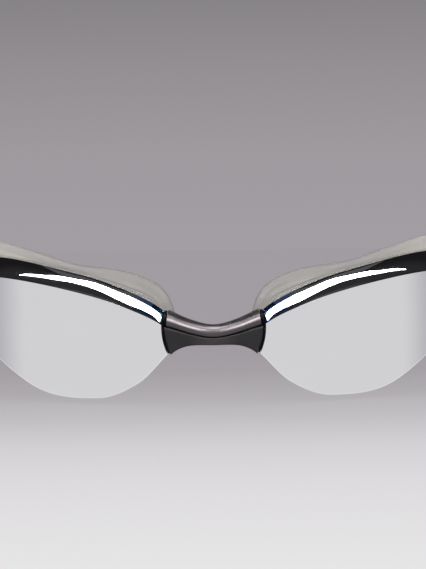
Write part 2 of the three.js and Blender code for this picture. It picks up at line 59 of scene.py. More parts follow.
# ---- Curves ----
def through(points):
    """A smooth curve y(x) through the points, in order of x."""
    last = len(points) - 1

    def slope(i):
        (xa, ya), (xb, yb) = points[max(i - 1, 0)], points[min(i + 1, last)]
        return (yb - ya) / (xb - xa)

    slopes = [slope(i) for i in range(last + 1)]

    def value(x):
        i = 0
        while i < last - 1 and x > points[i + 1][0]:
            i += 1
        (x0, y0), (x1, y1) = points[i], points[i + 1]
        h = x1 - x0
        t = (x - x0) / h
        s = 1 - t
        ends = y0 * s * s * (1 + 2 * t) + y1 * t * t * (1 + 2 * s)
        return ends + h * (slopes[i] * t * s * s - slopes[i + 1] * s * t * t)

    return value


def closed_curve(points, steps_each=24):
    """A closed Catmull-Rom curve as many points."""
    points = [Vector(p) for p in points]
    n = len(points)
    line = []
    for i in range(n):
        a, b, c, d = (points[(i + k - 1) % n] for k in range(4))
        for s in range(steps_each):
            t = s / steps_each
            v0, v1 = (c - a) / 2, (d - b) / 2
            line.append(
                (2 * b - 2 * c + v0 + v1) * t**3 + (-3 * b + 3 * c - 2 * v0 - v1) * t**2 + v0 * t + b
            )
    return line


def at_lengths(line, count):
    """Evenly spaced points round a closed line."""
    lengths = [0.0]
    for i, p in enumerate(line):
        lengths.append(lengths[-1] + (line[(i + 1) % len(line)] - p).length)
    out = []
    k = 0
    for i in range(count):
        want = lengths[-1] * i / count
        while lengths[k + 1] < want:
            k += 1
        t = (want - lengths[k]) / (lengths[k + 1] - lengths[k])
        out.append(line[k].lerp(line[(k + 1) % len(line)], t))
    return out


def smoothstep(t):
    """Goes smoothly from 0 to 1 as t does, and stays there."""
    c = min(max(t, 0), 1)
    return c * c * (3 - 2 * c)


# ---- Meshes ----
def place(p, side=1):
    """A point in millimetres of the drawing, as metres of the frame, mirrored for the right side."""
    return Vector((side * p[0] * MM, p[1] * MM, p[2] * MM)) + ORIGIN


def make(name, vertices, faces, materials, sharp=40, slots=None):
    """A closed mesh with its faces outwards. slots gives each face's material."""
    mesh = bpy.data.meshes.new(name)
    mesh.from_pydata(vertices, [], faces)
    for material in materials:
        mesh.materials.append(material)
    if slots:
        mesh.polygons.foreach_set("material_index", slots)
    bm = bmesh.new()
    bm.from_mesh(mesh)
    bmesh.ops.recalc_face_normals(bm, faces=bm.faces)
    bm.to_mesh(mesh)
    bm.free()
    mesh.shade_smooth()
    mesh.set_sharp_from_angle(angle=math.radians(sharp))
    piece = bpy.data.objects.new(name, mesh)
    bpy.context.scene.collection.objects.link(piece)
    return piece


def ring_faces(rows, columns, closed_rows):
    """Faces of a tube of closed sections, round on itself or with flat ends."""
    faces = []
    for i in range(rows if closed_rows else rows - 1):
        n = (i + 1) % rows
        for j in range(columns):
            k = (j + 1) % columns
            faces.append((i * columns + j, n * columns + j, n * columns + k, i * columns + k))
    if not closed_rows:
        faces.append(tuple(range(columns)))
        faces.append(tuple((rows - 1) * columns + j for j in range(columns)))
    return faces


def tube(name, sections, side, materials, closed=False, sharp=40):
    """A mesh through the sections in turn, closed on itself or with flat ends."""
    vertices = [place(p, side) for row in sections for p in row]
    return make(name, vertices, ring_faces(len(sections), len(sections[0]), closed), materials, sharp)


def apply_modifiers(piece):
    """Makes the modifiers' result the piece's own mesh."""
    graph = bpy.context.evaluated_depsgraph_get()
    mesh = bpy.data.meshes.new_from_object(piece.evaluated_get(graph))
    piece.modifiers.clear()
    piece.data = mesh


def combine(piece, other, operation):
    """Joins or cuts one piece with another, which is then gone."""
    modifier = piece.modifiers.new("combine", "BOOLEAN")
    modifier.operation = operation
    modifier.solver = "EXACT"
    modifier.object = other
    apply_modifiers(piece)
    bpy.data.objects.remove(other)


def bevel(piece, width, segments=3, angle=35):
    """Rounds the edges that are sharper than the angle. The width is in millimetres."""
    modifier = piece.modifiers.new("edges", "BEVEL")
    modifier.width = width * MM
    modifier.segments = segments
    modifier.limit_method = "ANGLE"
    modifier.angle_limit = math.radians(angle)
    modifier.use_clamp_overlap = True


def prism(name, outline, low, high, axis, side, materials):
    """An outline extruded along an axis. Along Z it is drawn in (x, y), along X in (y, z)."""
    def point(u, v, w):
        return (u, v, w) if axis == "Z" else (w, u, v)

    sections = [[point(u, v, w) for u, v in outline] for w in (low, high)]
    return tube(name, sections, side, materials)


def block(x0, x1, y0, y1, z0, z1, side):
    """A plain box, for joining to a piece or cutting from it."""
    return prism("block", [(x0, y0), (x1, y0), (x1, y1), (x0, y1)], z0, z1, "Z", side, [])


def arc(x, y, radius, start, end, steps=16):
    """Points along an arc between two angles in degrees."""
    angles = [math.radians(start + (end - start) * k / steps) for k in range(steps + 1)]
    return [(x + radius * math.cos(a), y + radius * math.sin(a)) for a in angles]


def circle(x, y, radius, sides=48):
    return arc(x, y, radius, 0, 360 - 360 / sides, sides - 1)


def soften(piece, angle):
    """Smooth shading, with the edges sharper than the angle kept sharp."""
    piece.data.shade_smooth()
    piece.data.set_sharp_from_angle(angle=math.radians(angle))


# ---- Materials ----
MIX_FACTOR, MIX_LOW, MIX_HIGH, MIX_COLOUR = 0, 6, 7, 2  # a colour Mix node's sockets
NOISE_LOW, NOISE_HIGH = 0.3, 0.7  # nearly all of a noise lies between these


class Nodes:
    """A material's nodes, added and linked by short calls."""

    def __init__(self, name, **values):
        self.material = bpy.data.materials.new(name)
        self.material.use_nodes = True
        self.tree = self.material.node_tree
        self.shader = self.tree.nodes["Principled BSDF"]
        for key, value in values.items():
            self.shader.inputs[key.replace("_", " ")].default_value = value

    def add(self, kind, inputs=None, **settings):
        node = self.tree.nodes.new(kind)
        for key, value in settings.items():
            setattr(node, key, value)
        for key, value in (inputs or {}).items():
            if isinstance(value, bpy.types.NodeSocket):
                self.tree.links.new(value, node.inputs[key])
            else:
                node.inputs[key].default_value = value
        return node

    def link(self, socket, to):
        self.tree.links.new(socket, self.shader.inputs[to])

    def coordinates(self):
        return self.add("ShaderNodeTexCoord").outputs["Object"]

    def noise(self, scale, detail=4, stretch=(1, 1, 1)):
        mapped = self.add("ShaderNodeMapping", {"Vector": self.coordinates(), "Scale": stretch})
        settings = {"Vector": mapped.outputs["Vector"], "Scale": scale, "Detail": detail}
        return self.add("ShaderNodeTexNoise", settings).outputs["Fac"]

    def run(self, value, start, end, low=0, high=1, shape="LINEAR"):
        """A number that goes from low to high as the value goes from start to end."""
        settings = {"Value": value, "From Min": start, "From Max": end, "To Min": low, "To Max": high}
        return self.add("ShaderNodeMapRange", settings, interpolation_type=shape).outputs["Result"]

    def between(self, noise, low, high):
        """A number that follows a noise from low to high."""
        return self.run(noise, NOISE_LOW, NOISE_HIGH, low, high)

    def mix(self, factor, low, high):
        """A colour that goes from low, a colour or a socket, to the colour high."""
        low = low if isinstance(low, bpy.types.NodeSocket) else (*low, 1)
        inputs = {MIX_FACTOR: factor, MIX_LOW: low, MIX_HIGH: (*high, 1)}
        return self.add("ShaderNodeMix", inputs, data_type="RGBA").outputs[MIX_COLOUR]

    def outwards(self, near, far):
        """0 up to near metres from the middle of the goggles, 1 from far metres on."""
        split = self.add("ShaderNodeSeparateXYZ", {0: self.coordinates()})
        distance = self.add("ShaderNodeMath", {0: split.outputs["X"]}, operation="ABSOLUTE").outputs[0]
        return self.run(distance, near, far, shape="SMOOTHSTEP")

    def edge(self, near, far):
        """0 where the surface faces the eye, 1 where it turns edge on."""
        facing = self.add("ShaderNodeLayerWeight", {"Blend": 0.5}).outputs["Facing"]
        return self.run(facing, near, far)

    def bump(self, height, strength, distance):
        settings = {"Height": height, "Strength": strength, "Distance": distance}
        self.link(self.add("ShaderNodeBump", settings).outputs["Normal"], "Normal")


def mirror_material():
    """Silver coating, even in itself, with faint clouds in its polish. Its outer ends carry a painted dim
    reflection.
    """
    m = Nodes("mirror_coating", Metallic=1.0, IOR=1.5)
    coat = m.mix(m.noise(60), (0.81, 0.81, 0.822), (0.85, 0.85, 0.855))
    # Painted reflection: from about 45 mm out the coating is darker and bluer, standing in for the dimmer
    # reflection at the lens's outer ends.
    m.link(m.mix(m.outwards(0.045, 0.055), coat, (0.56, 0.56, 0.585)), "Base Color")
    m.link(m.between(m.noise(220, 6), 0.035, 0.075), "Roughness")
    return m.material


def band_material():
    """The bevelled band along the brow: the same coating, with a painted blue reflection towards the nose.
    """
    m = Nodes("mirror_band", Metallic=1.0, IOR=1.5)
    blue = m.mix(m.noise(90), (0.30, 0.45, 0.82), (0.36, 0.52, 0.90))
    # Painted reflection: up to about 17 mm from the middle the band is blue, fading to silver by 21 mm,
    # standing in for a blue reflection near the nose.
    m.link(m.mix(m.outwards(0.0165, 0.021), blue, (0.84, 0.85, 0.88)), "Base Color")
    m.link(m.between(m.noise(260, 5), 0.02, 0.05), "Roughness")
    return m.material


def smoke_material():
    """Tinted lens plastic, seen on the lens's edges and from behind."""
    m = Nodes("lens_tint", IOR=1.58)
    m.link(m.mix(m.noise(40), (0.012, 0.013, 0.018), (0.022, 0.023, 0.03)), "Base Color")
    m.link(m.between(m.noise(180), 0.04, 0.09), "Roughness")
    return m.material


def ridge_shade_material():
    """The ridge between the band and the face, dark and barely reflecting: painted shade along the crease.
    """
    m = Nodes("ridge_painted_shade", IOR=1.1)
    m.link(m.mix(m.noise(90), (0.010, 0.010, 0.014), (0.030, 0.030, 0.038)), "Base Color")
    m.link(m.between(m.noise(260, 5), 0.05, 0.12), "Roughness")
    return m.material


def clear_material():
    """Clear moulded plastic with slight flow lines."""
    m = Nodes("clear_plastic", IOR=1.25, Transmission_Weight=1.0)
    m.link(m.mix(m.noise(70), (0.90, 0.92, 0.90), (0.97, 0.98, 0.97)), "Base Color")
    m.link(m.between(m.noise(240), 0.03, 0.10), "Roughness")
    m.bump(m.noise(300, 2, (1, 1, 3)), 0.05, 0.0002)
    return m.material


def silicone_material():
    """Clear soft silicone, slightly green, with a fine bloom. Like glass, it is darker seen edge on. Its
    outer part carries painted light.
    """
    m = Nodes("gasket_silicone", IOR=1.08, Coat_Weight=0.1, Coat_Roughness=0.3, Coat_IOR=1.41)
    film = m.mix(m.noise(80), (0.84, 0.84, 0.78), (0.89, 0.89, 0.84))
    # Painted light: from about 35 mm out the film is paler ivory and lets less light through, so the
    # gasket's outer corners show brighter.
    outer = m.outwards(0.035, 0.06)
    film = m.mix(outer, film, (0.95, 0.94, 0.88))
    m.link(m.mix(m.edge(0.6, 0.97), film, (0.10, 0.12, 0.13)), "Base Color")
    m.link(m.run(outer, 0, 1, 0.9, 0.775), "Transmission Weight")
    m.link(m.between(m.noise(60, 3), 0.27, 0.35), "Roughness")
    return m.material


def moulded_material(name, low, high, rough, grain, ior=1.46, ends=None):
    """Dark moulded plastic or silicone with a fine spark-eroded grain.

    ends is the colour that it takes a few millimetres from the goggles' middle: painted light and shade,
    with the tone changing from the middle outwards.
    """
    m = Nodes(name, IOR=ior)
    colour = m.mix(m.noise(120, 5), low, high)
    # Painted light and shade: the colour changes from the goggles' middle towards the ends.
    if ends:
        colour = m.mix(m.outwards(0.001, 0.0068), colour, ends)
    m.link(colour, "Base Color")
    m.link(m.between(m.noise(500, 5), rough - 0.06, rough + 0.06), "Roughness")
    m.bump(m.noise(2600, 3), grain, 0.0001)
    return m.material


def satin_material():
    """Satin gunmetal coating with a fine sparkle."""
    m = Nodes("satin_gunmetal", Metallic=0.8, IOR=1.5)
    m.link(m.mix(m.noise(3500, 2), (0.075, 0.066, 0.070), (0.105, 0.094, 0.099)), "Base Color")
    m.link(m.between(m.noise(900, 4), 0.30, 0.36), "Roughness")
    m.bump(m.noise(3200, 2), 0.08, 0.00005)
    return m.material


def steel_material():
    """Drawn steel with fine lines across it."""
    m = Nodes("pin_steel", Metallic=1.0, IOR=1.5)
    m.link(m.mix(m.noise(900, 3, (1, 1, 0.1)), (0.50, 0.50, 0.51), (0.64, 0.64, 0.65)), "Base Color")
    m.link(m.between(m.noise(1200, 4, (1, 1, 0.1)), 0.2, 0.34), "Roughness")
    return m.material


MIRROR, BAND, SMOKE, RIDGE = mirror_material(), band_material(), smoke_material(), ridge_shade_material()
CLEAR, SILICONE, SATIN, STEEL = clear_material(), silicone_material(), satin_material(), steel_material()
# The bridge's ends are painted darker: painted shade towards the collars, against a lighter middle that
# stands for the light it catches.
BRIDGE = moulded_material(
    "bridge_plastic", (0.032, 0.027, 0.030), (0.042, 0.036, 0.040), rough=0.50, grain=0.16, ior=1.28,
    ends=(0.0115, 0.0095, 0.0108),
)
ARM = moulded_material("arm_plastic", (0.014, 0.014, 0.016), (0.024, 0.024, 0.027), rough=0.34, grain=0.10)
# Near black: the collar's own dark colour, deepened into painted shade for the gap between the bridge and
# the lens.
COLLAR = moulded_material(
    "collar_black_and_shade", (0.002, 0.002, 0.0025), (0.004, 0.004, 0.0045), rough=0.42, grain=0.10, ior=1.12,
)
STRAP = moulded_material(
    "strap_silicone", (0.022, 0.022, 0.024), (0.034, 0.034, 0.036), rough=0.58, grain=0.14,
)


# ---- Lens ----
WRAP_START, WRAP_RADIUS = 8, 60
FACE_BULGE_RADIUS, FACE_MIDDLE = 110, -1
LENS_THICKNESS, LENS_LIP, LENS_RETURN = 1.7, 0.6, 2
LENS_NOSE_X, LENS_TEMPLE_X = 10.95, 70.5
END_BULGE, END_MIDDLE, END_HALF, END_BULGE_RUN = 1.4, 1.6, 6.2, 7
BAND_DEPTH, BAND_NOSE_LOSS, BAND_TEMPLE_LOSS = 4.7, 1.5, 1.7
BAND_NOSE_X, BAND_TEMPLE_X, BAND_LOSS_RUN = 11, 54, 17
BAND_CROWN, CROWN_AT_NOSE, CROWN_RUN = 0.3, 0.15, 16
RIDGE_FILLET, FILLET_ROWS = 0.32, 5
BAND_ROWS, FACE_ROWS, LENS_COLUMNS, LENS_END_STRIP = 14, 22, 150, 0.08
FACE_SLOT, BAND_SLOT, INSIDE_SLOT, RIDGE_SLOT = range(4)

brow_height = through([(11, 5.6), (20, 10.1), (32, 14.2), (57, 18.6), (71, 14.2)])
ridge_height = through([(11, 2.6), (26, 8.5), (44, 12.6), (58, 13.9), (71, 12.2)])
cheek_height = through([(11, -4.8), (18, -11.6), (28, -15.3), (45, -12.4), (71, 9)])


def brow_depth(x):
    """The band is deepest between the two ends and runs out towards each."""
    nose = max(0, 1 - (x - BAND_NOSE_X) / BAND_LOSS_RUN)
    temple = max(0, (x - BAND_TEMPLE_X) / BAND_LOSS_RUN)
    return BAND_DEPTH - BAND_NOSE_LOSS * nose**2 - BAND_TEMPLE_LOSS * temple**2


def face_depth(x):
    """How far back the wrapped face lies."""
    return (x - WRAP_START) ** 2 / (2 * WRAP_RADIUS)


def end_bulge(z):
    """How far the seam between lens and bridge bulges outwards at a height."""
    return END_BULGE * max(0, 1 - ((z - END_MIDDLE) / END_HALF) ** 2)


def nose_end_shift(x, z):
    fade = max(0, 1 - (x - LENS_NOSE_X) / END_BULGE_RUN) ** 2
    return end_bulge(z) * fade


def lens_column(x):
    """From the brow edge down over the band, the ridge and the face to the cheek edge."""
    back = face_depth(x)

    def bulge(z):
        return (z - FACE_MIDDLE) ** 2 / (2 * FACE_BULGE_RADIUS)

    ridge = ridge_height(x)
    low = cheek_height(x) + LENS_LIP
    brow = Vector((x, back + brow_depth(x), brow_height(x)))
    crest = Vector((x, back + bulge(ridge), ridge))
    column = []
    for k in range(BAND_ROWS + 1):
        t = k / BAND_ROWS
        crown = 4 * t * (1 - t) * BAND_CROWN * min(1, CROWN_AT_NOSE + (x - BAND_NOSE_X) / CROWN_RUN)
        column.append(brow.lerp(crest, t) + Vector((0, -crown, crown)))
    below = ridge - RIDGE_FILLET
    first = column[-1] + (column[-2] - column[-1]).normalized() * RIDGE_FILLET
    last = Vector((x, back + bulge(below), below))
    column[-1] = first
    for k in range(1, FILLET_ROWS + 1):
        t = k / FILLET_ROWS
        column.append(first * (1 - t) ** 2 + crest * 2 * t * (1 - t) + last * t**2)
    for k in range(1, FACE_ROWS + 1):
        z = below + (low - below) * k / FACE_ROWS
        column.append(Vector((x, back + bulge(z), z)))
    column.append(Vector((x, back + LENS_RETURN, cheek_height(x))))
    for p in column:
        p.x += nose_end_shift(x, p.z)
    return column


def offset_grid(grid, distance):
    """The grid moved inwards along its normals."""
    rows, columns = len(grid), len(grid[0])
    out = []
    for i, row in enumerate(grid):
        line = []
        for j, p in enumerate(row):
            along = grid[min(i + 1, rows - 1)][j] - grid[max(i - 1, 0)][j]
            down = row[min(j + 1, columns - 1)] - row[max(j - 1, 0)]
            line.append(p + along.cross(down).normalized() * distance)
        out.append(line)
    return out


def lens(name, side):
    """A curved sheet of even thickness, with a narrow column of faces at each end."""
    first, last = LENS_NOSE_X + LENS_END_STRIP, LENS_TEMPLE_X - LENS_END_STRIP
    inner_xs = [first + (last - first) * i / LENS_COLUMNS for i in range(LENS_COLUMNS + 1)]
    outer = [lens_column(x) for x in (LENS_NOSE_X, *inner_xs, LENS_TEMPLE_X)]
    inner = offset_grid(outer, LENS_THICKNESS)
    rows, columns = len(outer), len(outer[0])
    sheet = rows * columns
    vertices = [place(p, side) for grid in (outer, inner) for row in grid for p in row]
    faces, slots = [], []

    def add(corners, slot):
        faces.append(corners)
        slots.append(slot)

    for i in range(rows - 1):
        for j in range(columns - 1):
            a, b = i * columns + j, (i + 1) * columns + j
            below = j >= BAND_ROWS + FILLET_ROWS - 1
            # The fillet rows between band and face take RIDGE, the ridge's painted shade.
            slot = BAND_SLOT if j < BAND_ROWS else FACE_SLOT if below else RIDGE_SLOT
            add((a, b, b + 1, a + 1), slot)
            add((sheet + a, sheet + a + 1, sheet + b + 1, sheet + b), INSIDE_SLOT)
        for j in (0, columns - 1):
            a, b = i * columns + j, (i + 1) * columns + j
            add((a, sheet + a, sheet + b, b), INSIDE_SLOT)
    for i in (0, rows - 1):
        for j in range(columns - 1):
            a = i * columns + j
            add((a, a + 1, sheet + a + 1, sheet + a), INSIDE_SLOT)
    piece = make(name, vertices, faces, [MIRROR, BAND, SMOKE, RIDGE], 45, slots)
    bevel(piece, 0.06, segments=2, angle=55)
    return piece


# ---- Rim and gasket ----
RIM_DEPTH, RIM_WIDTH, RIM_INSET, RIM_PROUD = 2.4, 2.2, 0.4, 0.15
RIM_BEHIND_BROW, RIM_BEHIND_CHEEK, GASKET_GAP = 2.2, 1.4, 0.9
BROW_STATIONS = (14, 22, 34, 46, 58, 65)
CHEEK_STATIONS = (65, 57, 46, 34, 23, 15)
RIM_NOSE, RIM_TEMPLE = (13.2, 4.4, 0.5), (68.4, 5.4, 11.5)
SEAL_POINTS = [
    (9.5, 13, 0.5), (12, 13.5, 10), (21, 14.5, 14.4), (34, 15, 16.3), (45, 15, 19.6), (57, 14.5, 22.3),
    (67, 10.5, 19.5), (66.5, 10.5, 4.5), (49, 13.5, -11.6), (29, 13.5, -16.1), (16, 13, -9.4),
]
GASKET_PROFILE = [
    (0, 0, 0), (0.35, 0.9, 0), (0.7, 0.6, 0), (0.95, -0.1, 0), (1, 0.3, 0.7), (1, 3.2, 1.1),
    (1, 3.2, 0.2), (0.9, 1.6, 0), (0.65, 2, 0), (0.3, 2.4, 0), (0, 1.8, 0),
]
RING_STEPS = 220


def behind_face(x, depth, z):
    """A point a depth behind the lens's wrapped face."""
    return Vector((x, face_depth(x) + depth, z))


def rim_outline(back):
    """The rim's outer line round the eye, a distance behind its front."""
    def end(point):
        return behind_face(point[0], point[1] + back, point[2])

    brow = [
        behind_face(x, brow_depth(x) + RIM_BEHIND_BROW + back, brow_height(x) + RIM_PROUD)
        for x in BROW_STATIONS
    ]
    cheek = [
        behind_face(x, LENS_RETURN + RIM_BEHIND_CHEEK + back, cheek_height(x) + RIM_INSET)
        for x in CHEEK_STATIONS
    ]
    return closed_curve([end(RIM_NOSE), *brow, end(RIM_TEMPLE), *cheek])


def ring_sections(front, rear, profile):
    """A profile carried round the eye: [share from front to rear, mm inwards, mm back]."""
    f, r = at_lengths(front, RING_STEPS), at_lengths(rear, RING_STEPS)
    sections = []
    for i in range(RING_STEPS):
        n, b = (i + 1) % RING_STEPS, i - 1
        tangent = (f[n] - f[b]).normalized() + (r[n] - r[b]).normalized()
        inward = Vector((tangent.z, 0, -tangent.x)).normalized()
        row = []
        for share, inside, back in profile:
            p = f[i].lerp(r[i], share) + inward * inside
            p.y += back
            row.append(p)
        sections.append(row)
    return sections


def rounded(profile, steps):
    """A closed profile drawn as a smooth curve."""
    return [tuple(p) for p in closed_curve(profile, steps)]


def gasket(name, side):
    """A soft wall from the rim back to the seal round the eye."""
    rear = closed_curve([behind_face(*p) for p in SEAL_POINTS])
    sections = ring_sections(rim_outline(RIM_DEPTH + GASKET_GAP), rear, rounded(GASKET_PROFILE, 4))
    return tube(name, sections, side, [SILICONE], closed=True, sharp=180)


TONGUE = {"inner": 5.4, "outer": 14.2, "thick": 2.2, "low": -1.6, "high": 0.2}
HEEL = {"inner": 12.6, "outer": 15.2, "front": 2.8, "rear": 6.6}
NECK = {"x": 67.6, "y": 36.5, "thick": 1.8, "half": 1.5}
LUG_RADIUS, LUG_HALF, PIN_BORE = 2.6, 2.2, 1.45
RIM_ROUNDING = 0.35


def rim_profile():
    """A rectangle with rounded corners, as shares of the depth and millimetres inwards."""
    r = RIM_ROUNDING
    corners = [(0, 0, 180), (RIM_DEPTH, 0, 270), (RIM_DEPTH, RIM_WIDTH, 0), (0, RIM_WIDTH, 90)]
    profile = []
    for d, w, start in corners:
        centre = (r if d == 0 else d - r, r if w == 0 else w - r)
        profile += [(u / RIM_DEPTH, v, 0) for u, v in arc(*centre, r, start, start + 90, 4)]
    return profile


def rim(name, side):
    """The frame round the eye, with the tongue for the bridge and the lug for the side arm."""
    sections = ring_sections(rim_outline(0), rim_outline(RIM_DEPTH), rim_profile())
    piece = tube(name, sections, side, [CLEAR], closed=True)
    low, high = TONGUE["low"], TONGUE["high"]
    front, rear = FLEX_Y - TONGUE["thick"] / 2, FLEX_Y + TONGUE["thick"] / 2
    combine(piece, block(TONGUE["inner"], TONGUE["outer"], front, rear, low, high, side), "UNION")
    heel = block(HEEL["inner"], HEEL["outer"], HEEL["front"], HEEL["rear"], low, high, side)
    combine(piece, heel, "UNION")
    run = Vector((HINGE.x - NECK["x"], HINGE.y - NECK["y"]))
    across = Vector((-run.y, run.x)).normalized() * NECK["thick"] / 2
    start, end = Vector((NECK["x"], NECK["y"])), Vector((HINGE.x, HINGE.y))
    outline = [start - across, end - across, end + across, start + across]
    neck = prism("neck", outline, HINGE.z - NECK["half"], HINGE.z + NECK["half"], "Z", side, [])
    combine(piece, neck, "UNION")
    for radius, half, operation in (
        (LUG_RADIUS, LUG_HALF, "UNION"), (PIN_BORE, LUG_HALF + 1, "DIFFERENCE"),
    ):
        ring = circle(HINGE.x, HINGE.y, radius)
        combine(piece, prism("lug", ring, HINGE.z - half, HINGE.z + half, "Z", side, []), operation)
    soften(piece, 40)
    bevel(piece, 0.18, segments=2, angle=50)
    return piece


# ---- Nose bridge ----
BRIDGE_END_X, COVER_END_X, COVER_THICKNESS, CLEARANCE = 10.15, 9.95, 1, 0.4
COLLAR_INNER, COLLAR_OUTER, COLLAR_INSET = 10.08, 10.72, 0.3
SKIRT_OUTER, SKIRT_FRONT, SKIRT_REAR, SKIRT_LOW, SKIRT_HIGH = 11.2, 5.6, 7.2, 0.9, 5.3
BRIDGE_STEPS, CREASE_GAP, ARCH_SPRING, BOW_POWER = 96, 0.22, 0.32, 5
FOOT_RADIUS, LIP, TONGUE_PLAY, TONGUE_SLOT_END = 0.3, 0.15, 0.65, 14
BRIDGE_MATERIALS, COLLAR_SLOT = [BRIDGE, COLLAR], 1
saddle_top = through([(-5.5, 3.5), (0, 2.2), (5.5, 3.5), (10.5, 6.1)])
saddle_crease = through([(-5.5, 0.3), (0, -0.7), (5.5, 0.3), (10.5, 2.3)])
saddle_bottom = through([(-5.5, -2.6), (0, -2.6), (5.5, -2.6), (8, -3.3), (10.5, -4.8)])
saddle_front = through([(-5.5, -0.3), (0, 0.2), (5.5, -0.3), (10.5, -1.2)])
saddle_rear = through([(-5.5, 6.5), (0, 5.8), (5.5, 6.5), (10.5, 7.6)])


def saddle_arch(x, inset, steps):
    """The saddle's arch at x, from its front crease over the top to the rear one."""
    front, rear = saddle_front(x) + inset, saddle_rear(x) - inset
    crease, top = saddle_crease(x), saddle_top(x) - inset
    middle = crease + ARCH_SPRING * (top - crease)
    start = math.asin((crease - middle) / (top - middle))
    out = []
    for k in range(steps + 1):
        a = start + (math.pi - 2 * start) * k / steps
        y = (front + rear) / 2 - (rear - front) / 2 * math.cos(a)
        out.append((y, middle + (top - middle) * math.sin(a)))
    return out


def bowed(section, x, share):
    """A section set at x and bowed outwards, by a share of the bridge's end bulge."""
    return [(x + end_bulge(z) * share, y, z) for y, z in section(abs(x))]


def bridge_sections(section, end):
    """Sections from end to end of the bridge. They bow late, near its ends."""
    rows = []
    for i in range(BRIDGE_STEPS + 1):
        x = (2 * i / BRIDGE_STEPS - 1) * end
        rows.append(bowed(section, x, (x / BRIDGE_END_X) ** BOW_POWER))
    return rows


def wall_points(y, low, high, steps=12):
    """Points up an upright wall, so that it can bow with the bridge's ends."""
    return [(y, low + (high - low) * k / steps) for k in range(1, steps)]


def body_section(x):
    """The body at x: rounded feet, upright walls and the crease and top that the cover sits on."""
    front, rear, bottom = saddle_front(x), saddle_rear(x), saddle_bottom(x)
    crease = saddle_crease(x) - CREASE_GAP
    inner = saddle_arch(x, COVER_THICKNESS + CLEARANCE, 20)
    foot = bottom + FOOT_RADIUS
    front_foot = arc(front + FOOT_RADIUS, foot, FOOT_RADIUS, 270, 180, 5)
    rear_foot = arc(rear - FOOT_RADIUS, foot, FOOT_RADIUS, 0, -90, 5)
    front_wall = wall_points(front, foot, crease - LIP)
    rear_wall = wall_points(rear, crease, foot)
    lip = [(front, crease - LIP), (front + LIP, crease)]
    top = [(inner[0][0], crease), *inner, (inner[-1][0], crease), (rear, crease)]
    return [*front_foot, *front_wall, *lip, *top, *rear_wall, *rear_foot]


def collar_section(_):
    """The bridge's full outline at its end, set in a little all round."""
    arch = saddle_arch(BRIDGE_END_X, COLLAR_INSET, 24)
    bottom = saddle_bottom(BRIDGE_END_X) + COLLAR_INSET
    (front, low), (rear, _) = arch[0], arch[-1]
    sides = wall_points(front, bottom, low), wall_points(rear, low, bottom)
    return [(front, bottom), *sides[0], *arch, *sides[1], (rear, bottom)]


def skirt_section(_):
    """The collar's skirt, which closes the gap behind the lens's end: a near-black sheet, painted shade in
    the gap.
    """
    front = wall_points(SKIRT_FRONT, SKIRT_LOW, SKIRT_HIGH)
    rear = [(SKIRT_REAR, SKIRT_HIGH), (SKIRT_REAR, SKIRT_LOW)]
    return [(SKIRT_FRONT, SKIRT_LOW), *front, (SKIRT_FRONT, SKIRT_HIGH), *rear]


def cover_section(x):
    """The cover at x: a band of even thickness over the arch."""
    return [*saddle_arch(x, 0, 28), *reversed(saddle_arch(x, COVER_THICKNESS, 28))]


def bridge_body():
    sections = bridge_sections(body_section, BRIDGE_END_X)
    piece = tube("bridge_body_fine", sections, 1, BRIDGE_MATERIALS, sharp=45)
    for side in SIDES.values():
        for section, outer in ((collar_section, COLLAR_OUTER), (skirt_section, SKIRT_OUTER)):
            ends = [bowed(section, side * x, side) for x in (COLLAR_INNER, outer)]
            collar = tube("collar", ends, 1, BRIDGE_MATERIALS)
            # The collars and skirts take the near-black finish: painted shade for the gap beside the lens.
            collar.data.polygons.foreach_set("material_index", [COLLAR_SLOT] * len(collar.data.polygons))
            combine(piece, collar, "UNION")
    half = TONGUE["thick"] / 2 + TONGUE_PLAY
    inner = TONGUE["inner"] - CLEARANCE
    low, high = TONGUE["low"] - CLEARANCE, TONGUE["high"] + CLEARANCE
    for side in SIDES.values():
        slot = block(inner, TONGUE_SLOT_END, FLEX_Y - half, FLEX_Y + half, low, high, side)
        combine(piece, slot, "DIFFERENCE")
    bevel(piece, 0.12, segments=2, angle=50)
    return piece


def bridge_cover():
    piece = tube("bridge_cover_fine", bridge_sections(cover_section, COVER_END_X), 1, [SATIN], sharp=45)
    bevel(piece, 0.16, angle=50)
    return piece


# ---- Side arm and button ----
ARM_INNER, ARM_OUTER, ARM_REAR, ARM_WAIST, ARM_SWELL = 72.7, 79.1, 70, 50, 56
ARM_FRONT_HALF, ARM_REAR_HALF, ARM_CORNER, ARM_CORNER_ACROSS = 4.7, 5.4, 2, 1.4
ARM_BLANK_HALF, FORK_GAP = 8, 0.9
BUTTON = {"y": 60, "half_length": 4, "half_height": 2.4, "inner": 77.7, "outer": 79.9}
GROOVES, GROOVE_DEPTH, GROOVE_HALF_WIDTH, GROOVE_HALF_HEIGHT = (-2, -1, 0, 1, 2), 0.3, 0.22, 1.5
STRAP_X, STRAP_START_Y, STRAP_THICKNESS = 75.5, 46, 2
BAND_HEIGHT, BAND_BACK_HEIGHT, BAND_GAP = 3.4, 2.7, 0.4
STRAP_HALF = BAND_HEIGHT + BAND_GAP / 2


def bend(a, b, c, steps=10):
    """A quadratic curve from a to c, pulled towards b."""
    out = []
    for k in range(steps + 1):
        t = k / steps
        out.append(tuple((1 - t) ** 2 * a[i] + 2 * t * (1 - t) * b[i] + t * t * c[i] for i in (0, 1)))
    return out


